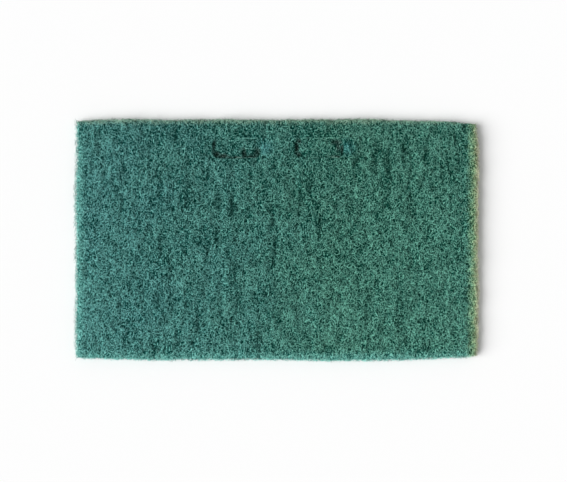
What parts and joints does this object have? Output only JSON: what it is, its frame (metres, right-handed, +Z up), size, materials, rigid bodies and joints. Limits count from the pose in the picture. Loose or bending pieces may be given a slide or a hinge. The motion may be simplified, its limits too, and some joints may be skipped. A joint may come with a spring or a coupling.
{
  "type": "floor scrubbing pad",
  "caption": "Flat rectangular scouring pad of green resin-bonded nylon web, with two rounded punched slots near one long edge, for scrubbing floors by hand or with a pad holder.",
  "frame": {"origin": "under the middle of the pad's bounding box, on its flat underside", "axes": "+X along the length, +Y across the width towards the edge with the two punched slots, +Z up out of the working face"},
  "size_m": [0.2546, 0.153, 0.0077],
  "materials": {
    "nylon_web": "matt"
  },
  "bodies": {
    "root": {"scrub_pad": "nylon_web"}
  },
  "joints": []
}
